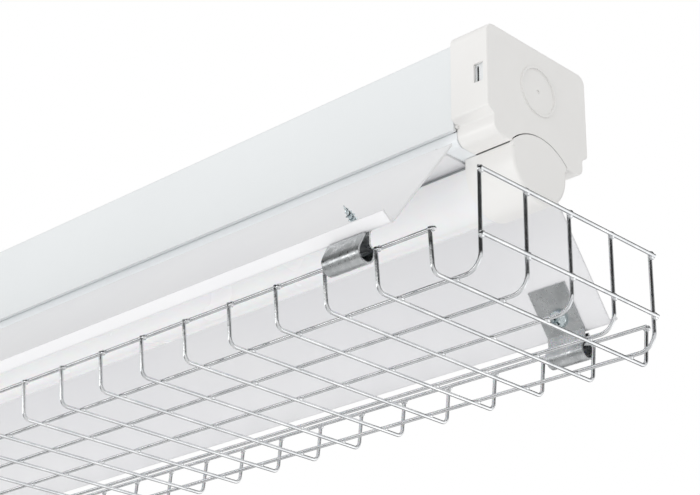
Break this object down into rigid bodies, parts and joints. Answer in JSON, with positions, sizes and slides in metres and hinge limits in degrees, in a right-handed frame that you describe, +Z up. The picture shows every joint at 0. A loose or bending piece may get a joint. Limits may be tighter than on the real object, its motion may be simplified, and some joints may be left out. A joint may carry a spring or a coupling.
{
  "type": "batten light",
  "caption": "Ceiling batten light with a folded reflector, an opal diffuser and a hinged wire guard.",
  "frame": {"origin": "on the ceiling plane, midway between the two fixing slots", "axes": "+X along the batten, +Z up into the ceiling, Y across the reflector"},
  "size_m": [0.6386, 0.1376, 0.1148],
  "materials": {
    "spine_paint": "satin cool white powder coat",
    "tray_paint": "satin cool white powder coat",
    "reflector_paint": "satin white enamel",
    "cap_plastic": "fine moulded texture, warm white",
    "diffuser_opal": "satin opal",
    "guard_wire": "bright galvanised wire",
    "clip_steel": "galvanised spring sheet with fine rolling lines",
    "screw_zinc": "zinc plated",
    "saddle_steel": "galvanised sheet",
    "carrier_aluminium": "mill finish extrusion",
    "board_laminate": "white solder resist",
    "led_phosphor": "yellow phosphor",
    "driver_plastic": "light grey moulding",
    "driver_laminate": "green solder resist",
    "coil_tape": "winding tape",
    "can_sleeve": "dark sleeve",
    "terminal_plastic": "natural moulding",
    "terminal_brass": "plain",
    "bush_rubber": "matt black",
    "lead_brown": "insulation",
    "lead_blue": "insulation",
    "lead_green_yellow": "insulation",
    "lead_red": "insulation",
    "lead_black": "insulation"
  },
  "bodies": {
    "root": {"spine": "spine_paint", "cable_grommet": "bush_rubber", "gear_tray": "tray_paint", "tray_saddles": "saddle_steel", "tray_screws": "screw_zinc", "led_carrier": "carrier_aluminium", "led_board_right": "board_laminate", "led_board_left": "board_laminate", "leds": "led_phosphor", "board_screws": "screw_zinc", "carrier_screws": "screw_zinc", "carrier_nuts": "screw_zinc", "diffuser": "diffuser_opal", "diffuser_cap_right": "cap_plastic", "diffuser_cap_left": "cap_plastic", "reflector": "reflector_paint", "near_guard_clips": "clip_steel", "far_guard_clips": "clip_steel", "clip_screws": "screw_zinc", "driver_case": "driver_plastic", "driver_lid": "driver_plastic", "driver_board": "driver_laminate", "driver_transformer": "coil_tape", "driver_capacitors": "can_sleeve", "driver_terminals": "terminal_plastic", "terminal_block": "terminal_plastic", "terminal_screws": "terminal_brass", "gear_screws": "screw_zinc", "earth_stud": "terminal_brass", "earth_tag": "terminal_brass", "earth_nut": "terminal_brass", "live_lead": "lead_brown", "neutral_lead": "lead_blue", "earth_lead": "lead_green_yellow", "led_minus_lead": "lead_black", "led_plus_lead": "lead_red", "lead_bush": "bush_rubber", "board_plug": "terminal_plastic"},
    "guard": {"guard_cross_wires": "guard_wire", "guard_long_wires": "guard_wire", "guard_rim_wires": "guard_wire", "guard_end_wires": "guard_wire"},
    "end_cap_right": {"end_cap_right": "cap_plastic"},
    "end_cap_left": {"end_cap_left": "cap_plastic"}
  },
  "joints": [
    {"name": "guard_swing", "type": "hinge", "parent": "root", "child": "guard", "pos_m": [0, 0.062, -0.0974], "axis": [1, 0, 0], "range_deg": [0, 90], "deforming": ["near_guard_clips"]},
    {"name": "end_cap_right_slide", "type": "slide", "parent": "root", "child": "end_cap_right", "axis": [1, 0, 0], "range_m": [0, 0.025]},
    {"name": "end_cap_left_slide", "type": "slide", "parent": "root", "child": "end_cap_left", "axis": [-1, 0, 0], "range_m": [0, 0.025]}
  ]
}
